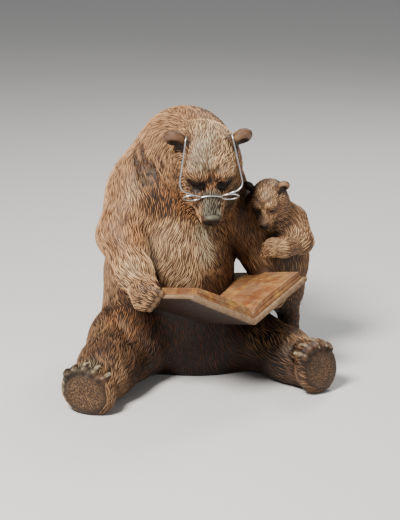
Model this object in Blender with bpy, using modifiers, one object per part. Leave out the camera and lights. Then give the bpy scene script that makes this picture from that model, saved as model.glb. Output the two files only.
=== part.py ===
"""A resin figurine: a sitting bear reads a book, and her cub leans on her arm. Wire spectacles sit on her muzzle.

The bear, the cub and the book are one casting. The spectacles are one bent wire that rests on it.
Metres, +Z up. The bear faces -Y, and the origin lies on the surface that the figurine stands on.
"""

import math

import bmesh
import bpy
import numpy as np
from mathutils import Matrix, Vector
from mathutils.bvhtree import BVHTree

# Driving sizes
FIGURE_HEIGHT = 0.270
BOOK_LENGTH = 0.106
BOOK_WIDTH = 0.0805
BOOK_COVER = 0.0055
BOOK_PAGES = 0.0095
BOOK_MARGIN = 0.0025
WIRE = 0.0016
RIM_WIDTH = 0.017
RIM_HEIGHT = 0.010
BRIDGE = 0.0205
ARM_SPREAD = 0.064
CLEARANCE = 0.0004

# The clay is laid out on a grid with this many steps to the figurine's height
GRID = 270
VOXEL = 2.3
CASTING_FACES = 8300

# The book's place and turn: the near end of its gutter in grid steps, then degrees
BOOK_AT = (54, -62, 78)
BOOK_YAW = 40
BOOK_TILT = 14
LEFT_RISE = 29.5
RIGHT_RISE = 20.5

HEAD_AT = (6, 16, 226)
HEAD_YAW = 8
HEAD_PITCH = 47

# Where the spectacles lie in the head's own axes, in grid steps from its centre
RIMS_FORWARD = 47
CORNER_BACK = 5
EAR_END = (22, -4, 36)
RIM_REACH = 0.08


def clear_scene():
    for obj in list(bpy.data.objects):
        bpy.data.objects.remove(obj)


def turned(yaw=0, pitch=0, roll=0):
    """Axes that face -Y: leaned over by roll, then nose down by pitch, then turned to the viewer's right by yaw."""
    return (
        Matrix.Rotation(math.radians(180 + yaw), 3, "Z")
        @ Matrix.Rotation(math.radians(-pitch), 3, "X")
        @ Matrix.Rotation(math.radians(roll), 3, "Y")
    )


class Clay:
    """Lumps of clay pressed together. Each lump melts into those before it, over a width of its own."""

    def __init__(self):
        self.lumps = []

    def ball(self, centre, radii, melt=10, turn=None, cut=False):
        turn = np.array(turn or Matrix.Identity(3), float)
        self.lumps.append((np.array(centre, float), np.array(radii, float), turn, melt, cut))

    def limb(self, points, melt=10):
        """A chain of rounded cones through (x, y, z, radius) points."""
        for start, end in zip(points, points[1:]):
            self.lumps.append((np.array(start, float), np.array(end, float), None, melt, False))

    @staticmethod
    def gap_of(lump, points):
        """How far each point lies outside one lump, and the way out of it."""
        first, second, turn, _, _ = lump
        if turn is not None:
            local = (points - first) @ turn
            near = np.linalg.norm(local / second, axis=1)
            way = local / second**2
            steep = np.maximum(np.linalg.norm(way, axis=1), 1e-9)
            return near * (near - 1) / steep, (way / steep[:, None]) @ turn.T
        span = second[:3] - first[:3]
        share = np.clip((points - first[:3]) @ span / (span @ span), 0, 1)
        way = points - first[:3] - share[:, None] * span
        far = np.maximum(np.linalg.norm(way, axis=1), 1e-9)
        return far - first[3] - share * (second[3] - first[3]), way / far[:, None]

    def depth(self, points, reach=12):
        """How far each point lies outside the clay in grid steps, negative inside, and the way out of it."""
        total = np.full(len(points), 1e3)
        out = np.zeros((len(points), 3))
        for lump in self.lumps:
            first, second, turn, melt, cut = lump
            middle = first if turn is not None else (first[:3] + second[:3]) / 2
            size = second.max() if turn is not None else np.linalg.norm(second - first) / 2 + max(first[3], second[3])
            near = np.flatnonzero(((points - middle) ** 2).sum(axis=1) < (size + melt + reach) ** 2)
            gap, way = self.gap_of(lump, points[near])
            if cut:
                gap, way = -gap, -way
            old = total[near]
            blend = np.maximum(melt - np.abs(old - gap), 0) / melt
            wins = (gap > old) if cut else (gap < old)
            share = np.where(wins, 1 - blend / 2, blend / 2)[:, None]
            edge = np.maximum(old, gap) + blend**2 * melt / 4 if cut else np.minimum(old, gap) - blend**2 * melt / 4
            total[near] = edge
            out[near] = out[near] * (1 - share) + way * share
        return total, out / np.maximum(np.linalg.norm(out, axis=1, keepdims=True), 1e-9)


def head(clay, centre, turn, size, muzzle, melt):
    """A bear's head about its own centre: x to its left, y forward along the muzzle, z up through the crown."""

    def at(x, y, z):
        return Vector(centre) + turn @ Vector((x, y, z)) * size

    def lump(x, y, z, radii, soft, cut=False, own=None):
        clay.ball(at(x, y, z), [r * size for r in radii], soft * size, turn @ (own or Matrix.Identity(3)), cut)

    tip = 26 + 34 * muzzle
    lump(0, 0, 0, (33, 38, 34), melt / size)
    for side in (-1, 1):
        lump(side * 14, 5, -13, (19, 25, 21), 12)
        lump(side * 13.5, 25, 18, (11.5, 10, 9), 6)
    clay.limb([(*at(0, 20, -3), 19 * size), (*at(0, tip - 8, -12), 13.5 * size)], 10 * size)
    clay.limb([(*at(0, 18, -22), 15 * size), (*at(0, tip - 8, -23), 9 * size)], 6 * size)
    lump(0, tip + 4, -6.5, (9.5, 7, 7), 4)
    for side in (-1, 1):
        ear = Matrix.Rotation(math.radians(-side * 14), 3, "Z") @ Matrix.Rotation(math.radians(side * 24), 3, "Y")
        lump(side * 14.5, 36, 8, (8.5, 7, 6), 5, cut=True)
        lump(side * 14, 28, 8, (6, 5.5, 5), 2)
        lump(side * 33, -6, 27, (12.5, 6.5, 12.5), 6, own=ear)
        lump(side * 35, 2.5, 28, (8.2, 6, 8.2), 3, cut=True, own=ear)
        lump(side * 6, tip + 10, -7, (2.4, 4, 2), 1.5, cut=True)


def foot(clay, centre, radii, turn):
    """A sole that faces forward along its own y, with five toes and their claws round its upper rim."""
    clay.ball(centre, radii, 8, turn=turn)
    for toe in (-2, -1, 0, 1, 2):
        angle = math.radians(90 + 27 * toe)
        rim = Vector((radii[0] * 0.86 * math.cos(angle), 2, radii[2] * 0.86 * math.sin(angle)))
        tip = rim + Vector((2.5 * math.cos(angle), 12, 2.5 * math.sin(angle)))
        clay.ball(Vector(centre) + turn @ rim, (6, 8.5, 6), 3, turn=turn)
        clay.limb([(*(Vector(centre) + turn @ (rim + Vector((0, 7, 1)))), 2.6), (*(Vector(centre) + turn @ tip), 1.2)], 1)


def paw(clay, centre):
    """The right paw, whose four fingers close over the book's fore-edge."""
    clay.ball(centre, (15, 13, 14), 8)
    for finger in range(4):
        knuckle = Vector(centre) + Vector((5 - finger * 4, -10 + finger * 2, 7 - finger * 6))
        tip = knuckle + Vector((10, -5, -2))
        clay.limb([(*knuckle, 5.2), (*tip, 4)], 2.5)
        clay.limb([(*tip, 2.6), (*(tip + Vector((7, -2, -3))), 1.2)], 1)


def bear(clay):
    lean = turned(yaw=22)
    clay.ball((-27, 64, 48), (72, 66, 58), turn=lean)
    clay.ball((-27, 46, 92), (60, 55, 58), 26, turn=lean)
    clay.ball((-23, 64, 142), (58, 58, 60), 28, turn=lean)
    clay.ball((-15, 74, 204), (53, 52, 60), 34, turn=lean)
    clay.ball((-60, 66, 92), (41, 48, 50), 16)
    clay.ball((-62, 56, 180), (32, 36, 42), 26)
    clay.ball((14, 68, 172), (30, 32, 38), 26)
    clay.limb([(-14, 66, 216, 42), (3, 26, 221, 29)], 24)
    clay.ball((6, 24, 192), (30, 28, 32), 18)
    clay.ball((-4, 40, 14), (66, 42, 40), 20)
    # Right arm, on the photograph's left
    clay.limb([(-66, 50, 178, 30), (-80, 20, 145, 23), (-64, -20, 117, 17), (-52, -44, 104, 14)], 10)
    # Left arm
    clay.limb([(22, 68, 174, 28), (46, 60, 140, 22), (64, 50, 110, 18), (72, 42, 90, 16), (74, 22, 80, 14)], 8)
    # Legs
    clay.limb([(-52, 48, 44, 50), (-74, 0, 37, 37), (-91, -50, 29, 27), (-102, -82, 22, 21)], 16)
    clay.limb([(8, 70, 44, 48), (60, 26, 29, 27), (88, -4, 26, 25), (104, -24, 22, 21)], 14)
    foot(clay, (-107, -90, 21), (25, 12, 23), turned(yaw=-16, pitch=-12, roll=-14))
    foot(clay, (115, -40, 26), (24, 12, 27), turned(yaw=36, pitch=-8, roll=22))
    paw(clay, (-52, -50, 107))
    head(clay, HEAD_AT, turned(HEAD_YAW, HEAD_PITCH), 1.0, 1.0, 16)


def cub(clay):
    clay.limb([(70, 50, 164, 22), (82, 62, 142, 25), (86, 70, 106, 26), (86, 74, 72, 25)], 12)
    clay.limb([(91, 75, 62, 17), (95, 75, 40, 10.5), (98, 75, 16, 9), (100, 66, 6, 9)], 5)
    clay.limb([(72, 88, 62, 17), (57, 98, 36, 11.5), (53, 96, 16, 10), (52, 86, 6, 9)], 5)
    clay.limb([(97, 56, 152, 14), (105, 46, 131, 11.5), (86, 28, 130, 9.5), (74, 20, 132, 10)], 6)
    clay.limb([(68, 76, 154, 13), (50, 90, 150, 11), (36, 92, 158, 9)], 6)
    head(clay, (70, 40, 178), turned(yaw=-16, pitch=36, roll=6), 0.57, 0.72, 8)


def template(build):
    """The points and faces that a bmesh operator makes."""
    mesh = bmesh.new()
    build(mesh)
    points = np.array([vert.co for vert in mesh.verts])
    faces = [[vert.index for vert in face.verts] for face in mesh.faces]
    mesh.free()
    return points, faces


def rough_mesh(clay):
    """The lumps as overlapping spheres and cones, in one mesh for the remesher."""
    ball = template(lambda mesh: bmesh.ops.create_uvsphere(mesh, u_segments=32, v_segments=16, radius=1))
    points, faces = [], []

    def add(shape, moved):
        start = sum(map(len, points))
        points.append(moved)
        faces.extend([index + start for index in face] for face in shape[1])

    for first, second, turn, _, cut in clay.lumps:
        if cut:
            continue
        if turn is not None:
            add(ball, first + (ball[0] * second) @ turn.T)
            continue
        for point in (first, second):
            add(ball, point[:3] + ball[0] * point[3])
        span = Vector(second[:3] - first[:3])
        cone = template(
            lambda mesh: bmesh.ops.create_cone(
                mesh, cap_ends=True, segments=24, radius1=first[3], radius2=second[3], depth=span.length
            )
        )
        axes = np.array(span.to_track_quat("Z", "Y").to_matrix())
        add(cone, (first[:3] + second[:3]) / 2 + cone[0] @ axes.T)
    data = bpy.data.meshes.new("rough")
    data.from_pydata(np.concatenate(points), [], faces)
    mesh = bmesh.new()
    mesh.from_mesh(data)
    return mesh


def object_of(name, mesh, visible=True):
    """A bmesh made an object."""
    data = bpy.data.meshes.new(name)
    mesh.to_mesh(data)
    mesh.free()
    obj = bpy.data.objects.new(name, data)
    obj.hide_render = not visible
    obj.display_type = "TEXTURED" if visible else "WIRE"
    bpy.context.scene.collection.objects.link(obj)
    return obj


def apply_modifiers(obj):
    """Replaces the object's mesh by what its modifiers make of it."""
    evaluated = obj.evaluated_get(bpy.context.evaluated_depsgraph_get())
    mesh = bpy.data.meshes.new_from_object(evaluated)
    obj.modifiers.clear()
    obj.data = mesh


def remeshed(obj, voxel):
    remesh = obj.modifiers.new("Remesh", "REMESH")
    remesh.mode = "VOXEL"
    remesh.voxel_size = voxel
    apply_modifiers(obj)


def settled(obj, clay):
    """Moves the object's points onto the surface of the melted clay."""
    points = np.empty(len(obj.data.vertices) * 3, np.float32)
    obj.data.vertices.foreach_get("co", points)
    points = points.reshape(-1, 3).astype(float)
    for _ in range(4):
        gap, out = clay.depth(points)
        points -= np.clip(gap, -2.5, 2.5)[:, None] * out
    obj.data.vertices.foreach_set("co", points.astype(np.float32).ravel())


def cast(clay):
    """The clay as one solid in metres, cut flat where it stands."""
    obj = object_of("bear_casting", rough_mesh(clay))
    remeshed(obj, 2 * VOXEL)
    settled(obj, clay)
    remeshed(obj, VOXEL)
    settled(obj, clay)
    relax = obj.modifiers.new("Relax", "SMOOTH")
    relax.factor = 0.5
    relax.iterations = 1
    thin = obj.modifiers.new("Thin", "DECIMATE")
    thin.ratio = CASTING_FACES / (2 * len(obj.data.polygons))
    apply_modifiers(obj)
    obj.data.transform(Matrix.Scale(FIGURE_HEIGHT / GRID, 4))
    mesh = bmesh.new()
    mesh.from_mesh(obj.data)
    cut = bmesh.ops.bisect_plane(
        mesh, geom=mesh.verts[:] + mesh.edges[:] + mesh.faces[:], plane_co=(0, 0, 0), plane_no=(0, 0, -1), clear_outer=True
    )
    rim = [edge for edge in cut["geom_cut"] if isinstance(edge, bmesh.types.BMEdge)]
    bmesh.ops.holes_fill(mesh, edges=rim, sides=0)
    bmesh.ops.triangulate(mesh, faces=mesh.faces[:])
    mesh.to_mesh(obj.data)
    mesh.free()
    return obj


def prism(name, outline, length):
    """An (x, z) outline drawn out along +Y."""
    mesh = bmesh.new()
    face = mesh.faces.new([mesh.verts.new((x, 0, z)) for x, z in outline])
    swept = bmesh.ops.extrude_face_region(mesh, geom=[face])
    bmesh.ops.translate(
        mesh, vec=(0, length, 0), verts=[v for v in swept["geom"] if isinstance(v, bmesh.types.BMVert)]
    )
    bmesh.ops.recalc_face_normals(mesh, faces=mesh.faces[:])
    bmesh.ops.triangulate(mesh, faces=mesh.faces[:])
    return object_of(name, mesh, visible=False)


def leaf(width, rise, low, high, side):
    """Points from the gutter out along one half of the open book at two heights over the cover's underside."""
    along = Vector((side * math.cos(math.radians(rise)), math.sin(math.radians(rise))))
    up = Vector((-side * along.y, side * along.x)) if side > 0 else Vector((along.y, -along.x))
    return [along * width * share + up * (low + (high - low) * lift) for share, lift in ARCH]


ARCH = ((0.0, 0.0), (0.06, 0.45), (0.14, 0.8), (0.26, 1.0), (0.45, 1.0), (0.7, 0.92), (1.0, 0.8))


def book():
    """The open book, lying with the near end of its spine at BOOK_AT."""
    halves = ((LEFT_RISE, -1), (RIGHT_RISE, 1))
    below, above, pages, floor = [], [], [], []
    for rise, side in halves:
        under = leaf(BOOK_WIDTH, rise, 0, 0, side)
        over = leaf(BOOK_WIDTH, rise, BOOK_COVER, BOOK_COVER, side)
        nose = (under[-1] + over[-1]) / 2 + (under[-1] - under[0]).normalized() * BOOK_COVER / 2
        below.append(under[1:])
        above.append([nose] + over[:0:-1])
        block = BOOK_WIDTH - BOOK_MARGIN
        pages.append(leaf(block, rise, BOOK_COVER, BOOK_COVER + BOOK_PAGES, side)[1:])
        floor.append(leaf(block, rise, BOOK_COVER / 2, BOOK_COVER / 2, side)[-1])
    middle = Vector((0, BOOK_COVER * 1.15))
    cover = [Vector((0, 0))] + below[1] + above[1] + [middle] + above[0][::-1] + below[0][::-1]
    block = [Vector((0, BOOK_COVER / 2)), floor[1]] + pages[1][::-1]
    block += [Vector((0, BOOK_COVER * 1.4))] + pages[0] + [floor[0]]
    board = prism("book_cover", cover, BOOK_LENGTH)
    paper = prism("book_pages", block, BOOK_LENGTH - 2 * BOOK_MARGIN)
    paper.data.transform(Matrix.Translation((0, BOOK_MARGIN, 0)))
    turn = Matrix.Rotation(math.radians(BOOK_YAW), 4, "Z") @ Matrix.Rotation(math.radians(-BOOK_TILT), 4, "X")
    place = Matrix.Translation(Vector(BOOK_AT) * FIGURE_HEIGHT / GRID) @ turn
    for obj in (board, paper):
        obj.data.transform(place)
    return board, paper


def joined(obj, others):
    for other in others:
        union = obj.modifiers.new("Join", "BOOLEAN")
        union.operation = "UNION"
        union.solver = "EXACT"
        union.use_self = True
        union.object = other
    apply_modifiers(obj)


def wire(name, points, closed=False):
    """A round wire bent through the points."""
    curve = bpy.data.curves.new(name, "CURVE")
    curve.dimensions = "3D"
    curve.bevel_depth = WIRE / 2
    curve.bevel_resolution = 1
    curve.use_fill_caps = True
    spline = curve.splines.new("POLY")
    spline.points.add(len(points) - 1)
    for point, place in zip(spline.points, points):
        point.co = (*place, 1)
    spline.use_cyclic_u = closed
    drawn = bpy.data.objects.new(name, curve)
    bpy.context.scene.collection.objects.link(drawn)
    mesh = bmesh.new()
    mesh.from_mesh(bpy.data.meshes.new_from_object(drawn.evaluated_get(bpy.context.evaluated_depsgraph_get())))
    bmesh.ops.remove_doubles(mesh, verts=mesh.verts[:], dist=1e-6)
    bmesh.ops.recalc_face_normals(mesh, faces=mesh.faces[:])
    bpy.data.objects.remove(drawn)
    return object_of(name, mesh, visible=False)


def rounded(points, radius, steps=6):
    """The path with each corner bent to a radius."""
    path = [Vector(points[0])]
    for before, corner, after in zip(points, points[1:], points[2:]):
        back = (Vector(before) - Vector(corner)).normalized()
        on = (Vector(after) - Vector(corner)).normalized()
        for step in range(steps + 1):
            share = step / steps
            ends = Vector(corner) + back * radius * (1 - share) ** 2 + on * radius * share**2
            path.append(ends)
    return path + [Vector(points[-1])]


def spectacles(casting):
    """Two wire rims, a bridge that rests on the muzzle, and an arm to each ear, all kept clear of the casting."""
    tree = BVHTree.FromObject(casting, bpy.context.evaluated_depsgraph_get())
    unit = FIGURE_HEIGHT / GRID
    turn = turned(HEAD_YAW, HEAD_PITCH)
    rest = WIRE / 2 + CLEARANCE

    def at(x, y, z):
        return Vector(HEAD_AT) * unit + turn @ Vector((x, y, z))

    def lowest(x, y, z):
        """How far over z this point of the wire has to be lifted to rest on the casting."""
        height = RIM_REACH
        while height > -RIM_REACH:
            gap = tree.find_nearest(at(x, y, height))[3] - rest
            if gap <= 1e-6:
                break
            height -= max(gap, 1e-5)
        return height - z

    def clear(point):
        """The point, moved out where it would be too near the casting."""
        for _ in range(8):
            near, normal, _, far = tree.find_nearest(point)
            if far >= rest and (point - near).dot(normal) > 0:
                break
            point = near + normal * (rest + CLEARANCE / 4)
        return point

    forward = RIMS_FORWARD * unit
    rims = {}
    for side in (-1, 1):
        turns = [math.tau * step / 20 for step in range(20)]
        middle = side * (BRIDGE + RIM_WIDTH) / 2
        rims[side] = [(middle + RIM_WIDTH / 2 * math.cos(a), forward, RIM_HEIGHT / 2 * math.sin(a)) for a in turns]
    span = BRIDGE / 2 + WIRE / 4
    shares = (-1, -0.6, -0.2, 0.2, 0.6, 1)
    bridge = [(span * share, forward, RIM_HEIGHT / 4 * (1 - share * share)) for share in shares]
    top = max(lowest(*point) for point in bridge + rims[-1] + rims[1])
    parts = []
    for side in (-1, 1):
        parts.append(wire(f"rim_{side}", [at(x, y, z + top) for x, y, z in rims[side]], closed=True))
        start = at(side * (BRIDGE / 2 + RIM_WIDTH / 4), forward, top + RIM_HEIGHT * 0.43)
        corner = at(side * ARM_SPREAD / 2, forward - CORNER_BACK * unit, top + RIM_HEIGHT * 0.7)
        ear = at(*(Vector((side * EAR_END[0], EAR_END[1], EAR_END[2])) * unit))
        near, normal, _, _ = tree.find_nearest(ear)
        path = rounded([start, corner, near + normal * rest * 1.5], ARM_SPREAD / 7)
        legs = [path[-2].lerp(path[-1], step / 6) for step in range(1, 7)]
        parts.append(wire(f"arm_{side}", [clear(point) for point in path[:-1] + legs]))
    frame = wire("spectacles", [at(x, y, z + top) for x, y, z in bridge])
    frame.hide_render = False
    frame.display_type = "TEXTURED"
    joined(frame, parts)
    return frame


def material(obj, name, colour, metallic, roughness):
    paint = bpy.data.materials.new(name)
    paint.use_nodes = True
    shader = paint.node_tree.nodes["Principled BSDF"]
    shader.inputs["Base Color"].default_value = (*colour, 1)
    shader.inputs["Metallic"].default_value = metallic
    shader.inputs["Roughness"].default_value = roughness
    obj.data.materials.clear()
    obj.data.materials.append(paint)


def settle_on_origin(casting, frame):
    """Puts the origin under the middle of the figurine."""
    corners = np.array([vert.co for obj in (casting, frame) for vert in obj.data.vertices])
    low, high = corners.min(axis=0), corners.max(axis=0)
    shift = Matrix.Translation((-(low[0] + high[0]) / 2, -(low[1] + high[1]) / 2, -low[2]))
    for obj in (casting, frame):
        obj.data.transform(shift)


def main():
    clear_scene()
    clay = Clay()
    bear(clay)
    cub(clay)
    casting = cast(clay)
    joined(casting, book())
    frame = spectacles(casting)
    material(casting, "resin", (0.28, 0.17, 0.10), 0, 0.5)
    material(frame, "wire", (0.6, 0.6, 0.6), 1, 0.3)
    for obj in list(bpy.data.objects):
        if obj.hide_render:
            bpy.data.objects.remove(obj)
    settle_on_origin(casting, frame)


main()
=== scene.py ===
import math

import bmesh
import bpy
import numpy as np
from mathutils import Matrix, Vector
from mathutils.bvhtree import BVHTree
from mathutils.kdtree import KDTree


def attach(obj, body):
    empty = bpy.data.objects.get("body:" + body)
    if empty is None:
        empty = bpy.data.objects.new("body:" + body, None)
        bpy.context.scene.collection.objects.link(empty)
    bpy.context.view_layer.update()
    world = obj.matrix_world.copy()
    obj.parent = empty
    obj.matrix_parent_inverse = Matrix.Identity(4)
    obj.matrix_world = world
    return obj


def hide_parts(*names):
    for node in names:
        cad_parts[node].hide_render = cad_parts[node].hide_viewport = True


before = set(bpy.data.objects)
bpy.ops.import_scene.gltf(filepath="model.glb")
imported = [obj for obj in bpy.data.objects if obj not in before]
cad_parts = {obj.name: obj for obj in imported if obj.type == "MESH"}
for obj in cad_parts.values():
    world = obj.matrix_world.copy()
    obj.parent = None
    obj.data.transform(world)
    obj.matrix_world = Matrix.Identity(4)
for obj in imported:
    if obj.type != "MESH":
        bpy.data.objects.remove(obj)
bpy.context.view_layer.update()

# The casting: a bear, a cub and an open book, cast hollow in one piece of polyresin. The sculptor pressed its pattern
# up from clay, so it is laid out here as the same lumps, in millimetres, each melting into the others over a width
# of its own. Carving finer than a finger's width is added as smaller lumps and cuts.

# The step from the clay's zero to the row's, then the middle of the bear's head, and its turn and nod in degrees
MIDDLE = np.array((-2.471, -12.756, 0.0))
HEAD_AT = (6, 16, 226)
HEAD_TURN = (8, 47)


def turned(yaw=0, pitch=0, roll=0):
    """Axes that face -Y: leaned over by roll, then nose down by pitch, then turned to the viewer's right by yaw."""
    return (
        Matrix.Rotation(math.radians(180 + yaw), 3, "Z")
        @ Matrix.Rotation(math.radians(-pitch), 3, "X")
        @ Matrix.Rotation(math.radians(roll), 3, "Y")
    )


class Clay:
    """Lumps of clay pressed together, and marks on them: where the fur stops, where the paint changes, and where shade
    or a highlight is painted.
    """

    FAR = 1e3

    def __init__(self):
        self.lumps = []
        self.lay = []
        self.marks = []

    def ball(self, centre, radii, melt=10, turn=None, cut=False):
        turn = np.array(turn or Matrix.Identity(3), float)
        self.lumps.append((np.array(centre, float), np.array(radii, float), turn, melt, cut))

    def limb(self, points, melt=10, lay=1, cut=False):
        """A chain of rounded cones through (x, y, z, radius) points. Its fur lies along it, or against it at -1."""
        for start, end in zip(points, points[1:]):
            start, end = np.array(start, float), np.array(end, float)
            self.lumps.append((start, end, None, melt, cut))
            if lay:
                self.lay.append((start, end, lay))

    def mark(self, kind, centre, radii, turn=None):
        turn = np.array(turn or Matrix.Identity(3), float)
        self.marks.append((kind, np.array(centre, float), np.array(radii, float), turn))

    def marked(self, points, *kinds):
        """How deep each point lies in the marks of these kinds, from 0 outside to 1 in the middle."""
        found = np.zeros(len(points))
        for kind, centre, radii, turn in self.marks:
            if kind in kinds:
                near = np.linalg.norm(((points - centre) @ turn) / radii, axis=1)
                found = np.maximum(found, 1 - near)
        return found

    @staticmethod
    def gap_of(lump, points):
        """How far each point lies outside one lump, and the way out of it."""
        first, second, turn, _, _ = lump
        if turn is not None:
            local = (points - first) @ turn
            near = np.linalg.norm(local / second, axis=1)
            way = local / second**2
            steep = np.maximum(np.linalg.norm(way, axis=1), 1e-9)
            return near * (near - 1) / steep, (way / steep[:, None]) @ turn.T
        span = second[:3] - first[:3]
        share = np.clip((points - first[:3]) @ span / (span @ span), 0, 1)
        way = points - first[:3] - share[:, None] * span
        far = np.maximum(np.linalg.norm(way, axis=1), 1e-9)
        return far - first[3] - share * (second[3] - first[3]), way / far[:, None]

    def depth(self, points, reach=12):
        """How far each point lies outside the clay, negative inside, and the way out of it."""
        total = np.full(len(points), self.FAR)
        out = np.zeros((len(points), 3))
        for lump in self.lumps:
            first, second, turn, melt, cut = lump
            middle = first if turn is not None else (first[:3] + second[:3]) / 2
            size = second.max() if turn is not None else np.linalg.norm(second - first) / 2 + max(first[3], second[3])
            near = np.flatnonzero(((points - middle) ** 2).sum(axis=1) < (size + melt + reach) ** 2)
            gap, way = self.gap_of(lump, points[near])
            if cut:
                gap, way = -gap, -way
            old = total[near]
            blend = np.maximum(melt - np.abs(old - gap), 0) / melt
            wins = (gap > old) if cut else (gap < old)
            share = np.where(wins, 1 - blend / 2, blend / 2)[:, None]
            edge = np.maximum(old, gap) + blend**2 * melt / 4 if cut else np.minimum(old, gap) - blend**2 * melt / 4
            total[near] = edge
            out[near] = out[near] * (1 - share) + way * share
        return total, out / np.maximum(np.linalg.norm(out, axis=1, keepdims=True), 1e-9)

    def settle(self, points, rounds=4, most=2.5):
        """The points moved onto the clay's surface, none by more than this much in a round."""
        for _ in range(rounds):
            gap, out = self.depth(points)
            points = points - np.clip(gap, -most, most)[:, None] * out
        return points


def carve_head(clay, centre, turn, size, muzzle, melt, shade):
    """A bear's head about its own centre: x to its left, y forward along the muzzle, z up through the crown."""

    def at(x, y, z):
        return Vector(centre) + turn @ Vector((x, y, z)) * size

    def lump(x, y, z, radii, soft, cut=False, own=None):
        clay.ball(at(x, y, z), [r * size for r in radii], soft * size, turn @ (own or Matrix.Identity(3)), cut)

    def mark(kind, x, y, z, radii, own=None):
        clay.mark(kind, at(x, y, z), [r * size for r in radii], turn @ (own or Matrix.Identity(3)))

    def chain(points, soft, lay=0, cut=False):
        clay.limb([(*at(x, y, z), r * size) for x, y, z, r in points], soft * size, lay, cut)

    tip = 26 + 34 * muzzle
    lump(0, 0, 0, (33, 38, 34), melt / size)
    for side in (-1, 1):
        lump(side * 14, 5, -13, (19, 25, 21), 12)
        lump(side * 13.5, 25, 18, (11.5, 10, 9), 6)
    chain([(0, 20, -3, 19), (0, tip - 8, -12, 13.5)], 10, lay=-1)
    chain([(0, 18, -22, 15), (0, tip - 8, -23, 9)], 6, lay=-1)
    lump(0, tip + 3.5, -8, (9.8, 6.6, 6), 3)
    lump(0, tip + 2.5, -13.5, (9.6, 6.4, 6.5), 3)
    chain([(-7.5, tip + 4.5, -4.6, 1.9), (0, tip + 6.6, -3.8, 2.1), (7.5, tip + 4.5, -4.6, 1.9)], 2)
    for side in (-1, 1):
        ear = Matrix.Rotation(math.radians(-side * 14), 3, "Z") @ Matrix.Rotation(math.radians(side * 24), 3, "Y")
        lump(side * 14.5, 36, 8, (8.5, 7, 6), 5, cut=True)
        lump(side * 14, 28, 8, (6, 5.5, 5), 2)
        lump(side * 33, -6, 28.5, (11, 6, 10.8), 6, own=ear)
        lump(side * 34.5, 5.5, 25, (8.2, 9.6, 9.4), 2, cut=True, own=ear)
        # Lids over and under the eye, and the folds that run up from the inner corner of the brow
        chain([(side * 8, 34, 8, 1.2), (side * 13, 34.5, 11.5, 1.8), (side * 19, 31, 9, 1.2)], 1.5)
        chain([(side * 8, 34, 6, 1.0), (side * 13, 34, 3.5, 1.3), (side * 19, 30, 6, 1.0)], 1.5)
        lump(side * 13.5, 32.2, 7.2, (3.4, 2.6, 3.2), 0.6)
        chain([(side * 4.5, 31, 18, 2.8), (side * 12, 31.5, 18, 4.0), (side * 21, 26, 13, 2.6)], 4)
        chain([(side * 4, 29.5, 24, 0.8), (side * 11, 26, 28, 1.8), (side * 20, 19, 26.5, 1.0)], 4, cut=True)
        # Painted shade in each eye's socket, under the brow
        mark("dark", side * 14.5, 35.5, 6, (11.5 * shade, 11, 7.5 * shade))
        mark("eye", side * 13.5, 33, 7.2, (5.2, 5, 4.6))
        mark("bare", side * 13.5, 34, 7.2, (8, 7, 6.5))
        # Painted shade in the hollow of each ear
        mark("ear", side * 34.5, 6.5, 23.5, (11.4, 13, 13.6), ear)
        mark("bare", side * 33.5, -2, 28, (12, 9, 12), ear)
        # Nostrils, with the wing of the nose round each
        lump(side * 4.8, tip + 9.5, -9.5, (2.4, 4, 2.2), 1.5, cut=True)
    chain([(0, 34, 14, 0.6), (0, 32, 22, 1.3), (0, 26, 31, 0.8)], 5, cut=True)
    lump(0, tip + 11, -12, (0.9, 3, 5), 1.5, cut=True)
    mark("nose", 0, tip + 10, -11.5, (13, 8, 11))
    # A painted highlight along the top edge of the bear's nose pad
    if muzzle == 1:
        mark("rim", 0, tip + 5.4, -2.6, (9.5, 3.0, 2.6))
    mark("bare", 0, tip + 8.5, -9, (12, 4.8, 8.6))
    # The mouth runs back from under the nose between the muzzle and the jaw
    for side in (-1, 1):
        chain([(0, tip + 4, -17.5, 1.2), (side * 8, tip - 2, -19, 1.4), (side * 14, tip - 18, -21, 1.1)], 2, cut=True)
    # Painted shade under the muzzle, along the mouth
    mark("dark", 0, tip - 2, -21, (13, 12, 5.5))


def carve_foot(clay, centre, radii, turn, fan):
    """A scooped sole that faces forward along its own y, with five clawed toes round its rim, fanned to one side."""

    def at(x, y, z):
        return Vector(centre) + turn @ Vector((x, y, z))

    clay.ball(centre, radii, 8, turn=turn)
    clay.ball(at(0, 20, -1), (radii[0] * 0.84, 12, radii[2] * 0.84), 5, turn=turn, cut=True)
    for toe in (-2, -1, 0, 1, 2):
        angle = math.radians(90 + fan + 23 * toe)
        across, up = math.cos(angle), math.sin(angle)

        def out(share, forward):
            return at(radii[0] * share * across, forward, radii[2] * share * up)

        clay.limb([(*out(0.9, -13), 4.2), (*out(0.93, 2), 4.7), (*out(0.88, 7), 4.0)], 2.5, lay=0)
        claw = [out(1.1, -6), out(1.16, 1), out(1.12, 8), out(0.98, 12.6), out(0.8, 13.6)]
        clay.limb([(*place, size) for place, size in zip(claw, (0.7, 1.3, 1.6, 1.4, 0.5))], 0.8, lay=0)
        for start, end in zip(claw, claw[1:]):
            for share in (0.2, 0.5, 0.8):
                clay.mark("claw", start.lerp(end, share), (2.5, 2.5, 2.5))
                clay.mark("bare", start.lerp(end, share), (2.6, 2.6, 2.6))
        clay.mark("toe", out(0.92, 5), (7, 8, 7), turn)
        clay.mark("bare", out(0.86, 9), (6, 6, 6), turn)
    clay.mark("sole", at(0, 12, -2), (radii[0] * 1.05, 13, radii[2] * 1.05), turn)
    clay.mark("bare", at(0, 14, -2), (radii[0] * 1.03, 12, radii[2] * 1.03), turn)


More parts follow.
